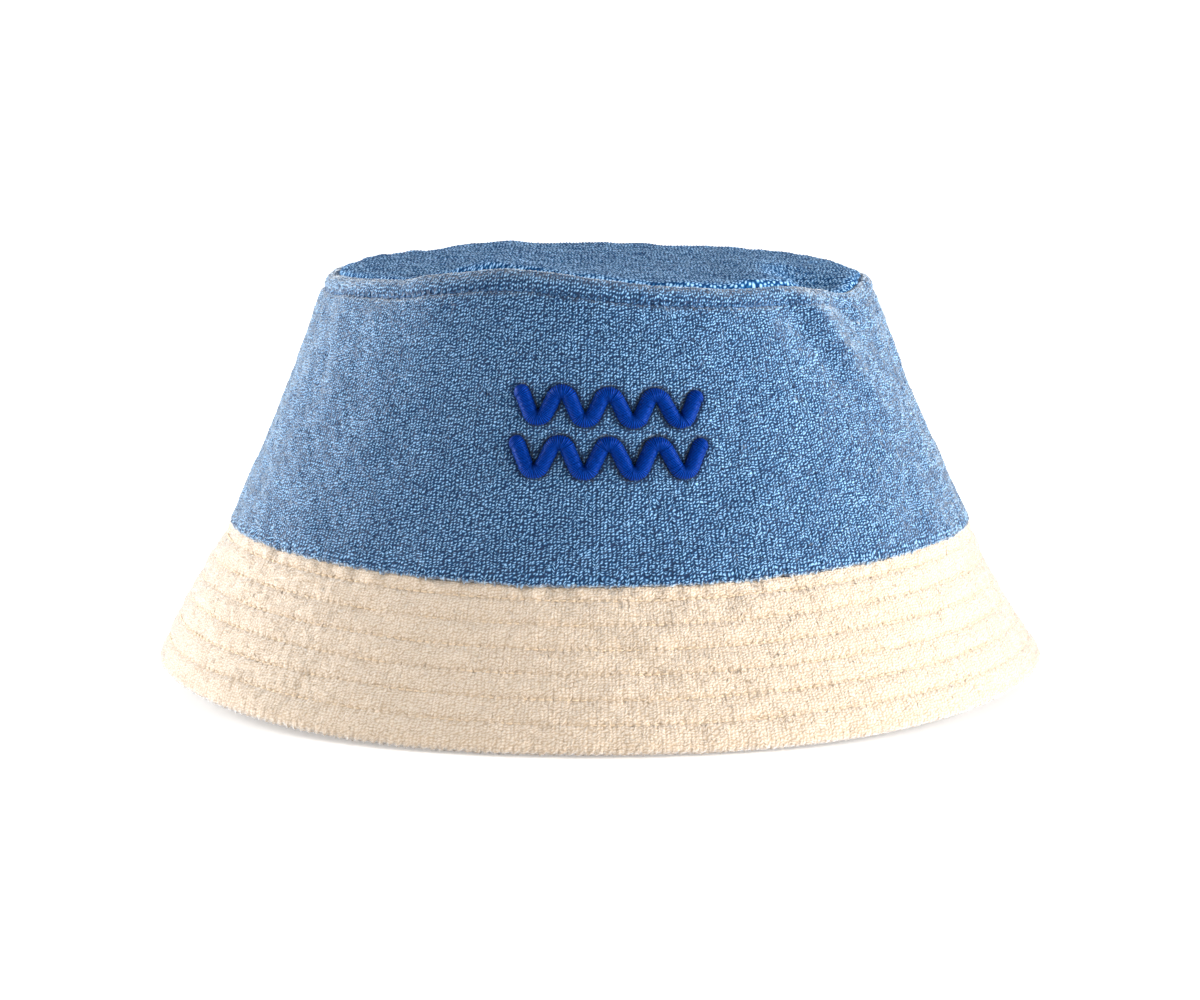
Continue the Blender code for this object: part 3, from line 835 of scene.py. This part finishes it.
def wave_line(wave_length):
    """One row of waves, bend by bend, as (across, up) points about 0.1 mm apart."""
    reach = WAVE_BEND_RADIUS * math.sin(WAVE_LEG_ANGLE)
    drop = WAVE_BEND_RADIUS * (1.0 - math.cos(WAVE_LEG_ANGLE))
    leg_run = wave_length / 2.0 - 2.0 * reach
    half_height = drop + leg_run * math.tan(WAVE_LEG_ANGLE) / 2.0
    corners = []
    for bend in range(2 * WAVES_PER_ROW + 1):
        sign = 1.0 if bend % 2 == 0 else -1.0
        middle = (bend - WAVES_PER_ROW) * wave_length / 2.0
        turns = np.linspace(-WAVE_LEG_ANGLE, WAVE_LEG_ANGLE, 41)
        if bend == 0:
            turns = turns[turns >= WAVE_END_ANGLE]
        if bend == 2 * WAVES_PER_ROW:
            turns = turns[turns <= -WAVE_END_ANGLE]
        across = middle + WAVE_BEND_RADIUS * np.sin(turns)
        up = sign * (half_height - WAVE_BEND_RADIUS * (1.0 - np.cos(turns)))
        corners.append(np.stack([across, up], -1))
    line = np.concatenate(corners)
    lead = STROKE / 2.0 * np.array([[math.cos(WAVE_END_ANGLE), -math.sin(WAVE_END_ANGLE)]])
    line = np.concatenate([line[:1] - lead, line, line[-1:] + lead * [[1.0, -1.0]]])
    travelled = travel(line)
    where = np.linspace(0.0, travelled[-1], round(travelled[-1] / (SATIN_PITCH / 4.0)) + 1)
    return read_along(where, travelled, line), where


def on_front(flat, proud, row_station):
    """Points of the motif's plane wrapped onto the front of the wall."""
    station = row_station - flat[..., 1] / WALL_SLOPE
    half_width = TIP_HALF_WIDTH + (SEAM_HALF_WIDTH - TIP_HALF_WIDTH) * row_station
    angle = -math.pi / 2.0 + (MOTIF_OFFSET + flat[..., 0]) / half_width
    return on_surface(crown, angle, station, proud)[0]


def plan_motif():
    plans = []
    for row, wave_length, station in MOTIF_ROWS:
        flat, where = wave_line(wave_length)
        core = flat[(where > STROKE / 2.0) & (where < where[-1] - STROKE / 2.0)][::5]
        line = on_front(core, 0.0, station)
        plans.append({"row": row, "flat": flat, "where": where, "station": station, "line": line})
    return plans


def make_motif(plans, satin, foam):
    """Raised waves wrapped in satin thread, each thread a ridge across the stroke."""
    chance = np.random.default_rng(5)
    turns = np.linspace(0.0, math.pi, 18)
    for plan in plans:
        flat, where = plan["flat"], plan["where"]
        ahead = unit(np.gradient(flat, axis=0))
        beside = np.stack([-ahead[:, 1], ahead[:, 0]], -1)[:, None]
        end = np.minimum(where, where[-1] - where)
        tip = 1.0 - (1.0 - np.clip(end / (STROKE / 2.0), 0.02, 1.0)) ** 2
        tip = np.sqrt(np.clip(tip, 0.0, 1.0))[:, None]
        thread = 0.5 - 0.5 * np.cos(TURN * where / SATIN_PITCH)
        loose = np.repeat(chance.normal(0.0, 1.0, len(where) // 4 + 1), 4)[: len(where)]
        swell = 1.0 + 0.07 * (thread + 0.5 * loose)[:, None] * np.sin(turns) ** 0.5
        side = -np.cos(turns) * (STROKE / 2.0) * tip * swell
        high = np.sin(turns) ** 0.8 * STROKE_HEIGHT * (0.35 + 0.65 * tip) * swell - 0.4 * MM
        outer = on_front(flat[:, None] + beside * side[..., None], high, plan["station"])
        core_spots = flat[:, None] + beside * (side * CORE_SHARE)[..., None]
        core_high = np.maximum(high * CORE_SHARE - 0.2 * MM, -0.2 * MM)
        inner = on_front(core_spots, core_high, plan["station"])
        shell = np.concatenate([outer, inner[:, ::-1]], 1).transpose(1, 0, 2)
        # Each strand's ridge lifts the colour as painted highlight, and its hollows drop it as painted
        # shade.
        tone = np.broadcast_to(thread, shell.shape[:2])
        faces = loop_faces(len(shell), len(where))
        piece = make_mesh(f"satin_wave_{plan['row']}", shell, faces, satin, tone)
        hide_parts(f"motif_wave_{plan['row']}")
        core = on_front(core_spots, np.maximum(core_high - 0.15 * MM, -0.3 * MM), plan["station"])
        core = core[::8].transpose(1, 0, 2)
        piece = make_mesh(f"wave_foam_{plan['row']}", core, loop_faces(*core.shape[:2]), foam)
        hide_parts(f"motif_foam_{plan['row']}")


# ---- care label ----


def make_label(material):
    """A blank woven label with folded top, a little curled, on its own body."""
    low, high = LABEL_BOX
    middle_y = (low[1] + high[1]) / 2.0
    width, length = high[0] - low[0], high[2] - low[2]
    columns, rows = 41, 45
    across, fall = np.meshgrid(np.linspace(-0.5, 0.5, columns), np.linspace(0.0, 1.0, rows))
    x = across * width * (1.0 - 0.02 * np.sin(math.pi * fall))
    z = high[2] - fall * length
    curl = 0.7 * MM * fall**2 * np.cos(TURN * across * 0.5) - 0.5 * MM * fall * across
    ribs = 0.02 * MM * np.cos(TURN * fall * rows / 4.0)
    half = 0.22 * MM * (1.0 + 0.6 * bell(fall, 0.06)) + ribs
    front = np.stack([x, middle_y - curl - half, z], -1)
    back = np.stack([x, middle_y - curl + half, z], -1)
    points = np.concatenate([front, back[::-1]])
    faces = loop_faces(len(points), columns)
    piece = make_mesh("blank_label", points, faces, material, body="label")
    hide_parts("care_label")


# ---- materials ----


def new_material(name, roughness, sheen=0.0, sheen_roughness=0.5, tint=WHITE, specular=0.25):
    material = bpy.data.materials.new(name)
    material.use_nodes = True
    shader = material.node_tree.nodes["Principled BSDF"]
    shader.inputs["Roughness"].default_value = roughness
    shader.inputs["Sheen Weight"].default_value = sheen
    shader.inputs["Sheen Roughness"].default_value = sheen_roughness
    shader.inputs["Sheen Tint"].default_value = (*tint, 1.0)
    shader.inputs["Specular IOR Level"].default_value = specular
    return material, material.node_tree, shader


def feed(tree, socket, value):
    """Gives a node's input a value, or links it to another node's output."""
    if isinstance(value, bpy.types.NodeSocket):
        tree.links.new(value, socket)
    else:
        socket.default_value = value


def node(tree, kind, **inputs):
    made = tree.nodes.new(kind)
    for name, value in inputs.items():
        feed(tree, made.inputs[name], value)
    return made


def ramp(tree, source, stops):
    """A colour ramp; a stop is a place and a colour, or a place and a grey."""
    made = node(tree, "ShaderNodeValToRGB", Fac=source)
    elements = made.color_ramp.elements
    while len(elements) < len(stops):
        elements.new(0.5)
    for element, (position, color) in zip(elements, stops):
        element.position = position
        element.color = (*color, 1.0) if isinstance(color, tuple) else (color, color, color, 1.0)
    return made.outputs["Color"]


def object_place(tree):
    return tree.nodes.new("ShaderNodeTexCoord").outputs["Object"]


def attribute(tree, name, output):
    made = tree.nodes.new("ShaderNodeAttribute")
    made.attribute_name = name
    return made.outputs[output]


def noise(tree, scale, detail, output="Fac"):
    place = object_place(tree)
    return node(tree, "ShaderNodeTexNoise", Vector=place, Scale=scale, Detail=detail).outputs[output]


def dress(tree, shader, color, height, strength, distance):
    """Gives a shader its colour, and bumps of this height field."""
    tree.links.new(color, shader.inputs["Base Color"])
    made = node(tree, "ShaderNodeBump", Height=height, Strength=strength, Distance=distance)
    tree.links.new(made.outputs["Normal"], shader.inputs["Normal"])


def operate(tree, kind, operation, values, output):
    made = tree.nodes.new(kind)
    made.operation = operation
    for value, socket in zip(values, made.inputs):
        feed(tree, socket, value)
    return made.outputs[output]


def maths(tree, operation, *values):
    return operate(tree, "ShaderNodeMath", operation, values, "Value")


def vectors(tree, operation, *values, output="Vector"):
    return operate(tree, "ShaderNodeVectorMath", operation, values, output)


def multiply_colors(tree, first, second):
    made = tree.nodes.new("ShaderNodeMix")
    made.data_type = "RGBA"
    made.blend_type = "MULTIPLY"
    made.inputs["Factor"].default_value = 1.0
    tree.links.new(first, made.inputs["A"])
    tree.links.new(second, made.inputs["B"])
    return made.outputs["Result"]


def terry_material(name, stops, sheen, tint, patches):
    """Looped terry: every loop its own light stroke, with painted shade darkening the gaps between, a
    little disordered.
    """
    material, tree, shader = new_material(name, 0.95, sheen, 0.48, tint, 0.1)
    # The place in loops, closed up down the cloth and drifting out of its rows.
    spot = vectors(tree, "MULTIPLY", attribute(tree, "loops", "Vector"), (1.0, 1.25, 1.0))
    for scale, reach in LOOP_DRIFTS:
        drift = vectors(tree, "SUBTRACT", noise(tree, scale, 1.0, "Color"), (0.5, 0.5, 0.5))
        spot = vectors(tree, "MULTIPLY_ADD", drift, (reach, reach, 0.0), spot)
    cells = node(tree, "ShaderNodeTexVoronoi", Vector=spot, Scale=1.0, Randomness=LOOP_DISORDER)
    cells.voronoi_dimensions = "2D"
    chance = node(tree, "ShaderNodeSeparateColor", Color=cells.outputs["Color"])
    # Distance from the loop's centre, counted double across its lean.
    off = vectors(tree, "SUBTRACT", spot, cells.outputs["Position"])
    squares = []
    for heading, squeeze in ((-LOOP_LEAN, 1.0), (math.pi / 2.0 - LOOP_LEAN, 2.0)):
        axis = (squeeze * math.cos(heading), squeeze * math.sin(heading), 0.0)
        share = vectors(tree, "DOT_PRODUCT", off, axis, output="Value")
        squares.append(maths(tree, "MULTIPLY", share, share))
    distance = maths(tree, "SQRT", maths(tree, "ADD", *squares))
    # The loop's colour tone: lightest at its centre, with painted shade darker towards the gaps.
    tone = maths(tree, "SUBTRACT", 1.08, maths(tree, "MULTIPLY", distance, 1.15))
    tone = maths(tree, "SUBTRACT", tone, maths(tree, "MULTIPLY", chance.outputs[0], 0.14))
    # The mesh's value adds its painted shade from loop gaps, grooves and pressed rings.
    pile_shade = maths(tree, "SUBTRACT", attribute(tree, "pile_shade", "Fac"), 0.5)
    tone = maths(tree, "ADD", tone, maths(tree, "MULTIPLY", pile_shade, 0.5))
    shade = ramp(tree, noise(tree, 48.0, 3.0), patches)
    color = multiply_colors(tree, ramp(tree, tone, stops), shade)
    dress(tree, shader, color, tone, 0.5, 0.3 * MM)
    return material


def woven_material(name, color, shade, scale, roughness, sheen):
    """A fine plain weave from two crossed waves."""
    material, tree, shader = new_material(name, roughness, sheen)
    place = object_place(tree)
    waves = []
    for direction in ("Z", "DIAGONAL"):
        wave = node(tree, "ShaderNodeTexWave", Vector=place, Scale=scale, Distortion=0.6, Detail=1.0)
        wave.bands_direction = direction
        waves.append(wave.outputs["Fac"])
    weave = maths(tree, "MULTIPLY", *waves)
    dress(tree, shader, ramp(tree, weave, ((0.0, shade), (0.7, color))), weave, 0.35, 0.15 * MM)
    return material


def thread_material(name, color, shade, roughness, sheen):
    material, tree, shader = new_material(name, roughness, sheen)
    twist = noise(tree, 2500.0, 2.0)
    dress(tree, shader, ramp(tree, twist, ((0.3, shade), (0.7, color))), twist, 0.4, 0.1 * MM)
    return material


def satin_material(name):
    """Glossy royal-blue embroidery thread: each strand painted lighter on its ridge and darker between,
    as painted highlight and shade.
    """
    material, tree, shader = new_material(name, 0.38, specular=0.30)
    shader.inputs["Specular Tint"].default_value = SATIN_GLOSS
    strand = maths(tree, "MULTIPLY", attribute(tree, "pile_shade", "Fac"), 0.7)
    fibre = maths(tree, "MULTIPLY", noise(tree, 1800.0, 3.0), 0.4)
    tone = maths(tree, "ADD", strand, fibre)
    dress(tree, shader, ramp(tree, tone, SATIN_STOPS), tone, 0.4, 0.1 * MM)
    return material


# ---- set, lights and camera ----


def make_camera():
    data = bpy.data.cameras.new("camera")
    data.lens = CAMERA_LENS
    data.sensor_width = 36.0
    data.clip_start, data.clip_end = 0.01, 20.0
    camera = bpy.data.objects.new("camera", data)
    away = CAMERA_DISTANCE * math.cos(CAMERA_ELEVATION)
    lift = CAMERA_DISTANCE * math.sin(CAMERA_ELEVATION)
    camera.location = (0.0, -away, AIM_HEIGHT + lift)
    camera.rotation_euler = (math.pi / 2.0 - CAMERA_ELEVATION, 0.0, 0.0)
    bpy.context.collection.objects.link(camera)
    bpy.context.scene.camera = camera


def make_light(name, place, power):
    data = bpy.data.lights.new(name, "AREA")
    data.shape = "RECTANGLE"
    data.size, data.size_y = WINDOW_SIZE
    data.energy = power
    light = bpy.data.objects.new(name, data)
    light.location = place
    toward = Vector(WINDOW_TARGET) - Vector(place)
    light.rotation_euler = toward.to_track_quat("-Z", "Y").to_euler()
    bpy.context.collection.objects.link(light)


def glowing_stage(name, strengths):
    """A plain white stage material whose own glow changes with the distance from the hat."""
    material, tree, shader = new_material(name, 0.9, specular=0.0)
    shader.inputs["Base Color"].default_value = (0.88, 0.88, 0.88, 1.0)
    shader.inputs["Emission Strength"].default_value = 1.0
    away = vectors(tree, "LENGTH", object_place(tree), output="Value")
    tree.links.new(ramp(tree, away, strengths), shader.inputs["Emission Color"])
    return material


def make_set():
    """A plain white floor and surround, a studio dimmer overhead, and two soft lights."""
    bpy.ops.mesh.primitive_circle_add(
        vertices=96, radius=FLOOR_RADIUS, fill_type="NGON", location=(0.0, 0.0, FLOOR_HEIGHT)
    )
    floor = bpy.context.object
    floor.name = "pale_floor"
    floor.data.materials.append(glowing_stage("pale_floor", FLOOR_GLOW))
    bpy.ops.mesh.primitive_uv_sphere_add(segments=48, ring_count=24, radius=SURROUND_RADIUS)
    surround = bpy.context.object
    surround.name = "white_surround"
    surround.data.materials.append(glowing_stage("white_surround", SURROUND_GLOW))
    surround.visible_diffuse, surround.visible_glossy, surround.visible_shadow = False, False, False
    world = bpy.data.worlds.new("studio")
    world.use_nodes = True
    tree = world.node_tree
    place = tree.nodes.new("ShaderNodeTexCoord").outputs["Generated"]
    height = node(tree, "ShaderNodeSeparateXYZ", Vector=place)
    background = tree.nodes["Background"]
    tree.links.new(ramp(tree, height.outputs["Z"], WORLD_GLOW), background.inputs["Color"])
    background.inputs["Strength"].default_value = 1.0
    bpy.context.scene.world = world
    make_light("right_window", RIGHT_WINDOW, RIGHT_POWER)
    make_light("left_window", LEFT_WINDOW, LEFT_POWER)
    bpy.context.scene.view_settings.view_transform = "Standard"


def main():
    make_camera()
    make_set()
    blue = terry_material("blue_terry", BLUE_STOPS, 1.0, BLUE_BLOOM, BLUE_PATCHES)
    # A lit copy of the blue terry for the top, with less sheen and painted paler.
    blue_flat_lit = terry_material("blue_terry_flat_lit", TOP_STOPS, 0.06, BLUE_BLOOM, BLUE_PATCHES)
    cream = terry_material("cream_terry", CREAM_STOPS, 1.0, CREAM_BLOOM, CREAM_PATCHES)
    blue_thread = thread_material("blue_thread", (0.07, 0.18, 0.36), (0.03, 0.10, 0.24), 0.6, 0.2)
    cream_thread = thread_material("cream_thread", (0.78, 0.62, 0.44), (0.62, 0.46, 0.30), 0.6, 0.2)
    tape = woven_material("tape_cotton", (0.80, 0.72, 0.60), (0.66, 0.58, 0.47), 900.0, 0.85, 0.2)
    band = woven_material("band_twill", (0.82, 0.74, 0.61), (0.68, 0.59, 0.47), 600.0, 0.8, 0.2)
    nonwoven = woven_material("nonwoven", (0.86, 0.86, 0.84), (0.78, 0.78, 0.76), 400.0, 0.9, 0.1)
    label = woven_material("label_weave", (0.90, 0.89, 0.86), (0.80, 0.79, 0.76), 1200.0, 0.45, 0.3)
    foam = thread_material("puff_foam", (0.02, 0.05, 0.26), (0.01, 0.03, 0.18), 0.9, 0.0)
    plans = plan_motif()
    for side, first in HALVES:
        make_wall(side, first, blue, plans)
        make_brim_layer(side, first, True, cream)
        make_brim_layer(side, first, False, cream)
    make_top(blue_flat_lit)
    make_brim_stitches(cream_thread)
    make_topstitching(blue_thread)
    make_linings(tape, band, nonwoven, cream_thread)
    make_interlinings(nonwoven)
    make_motif(plans, satin_material("royal_satin"), foam)
    make_label(label)


main()
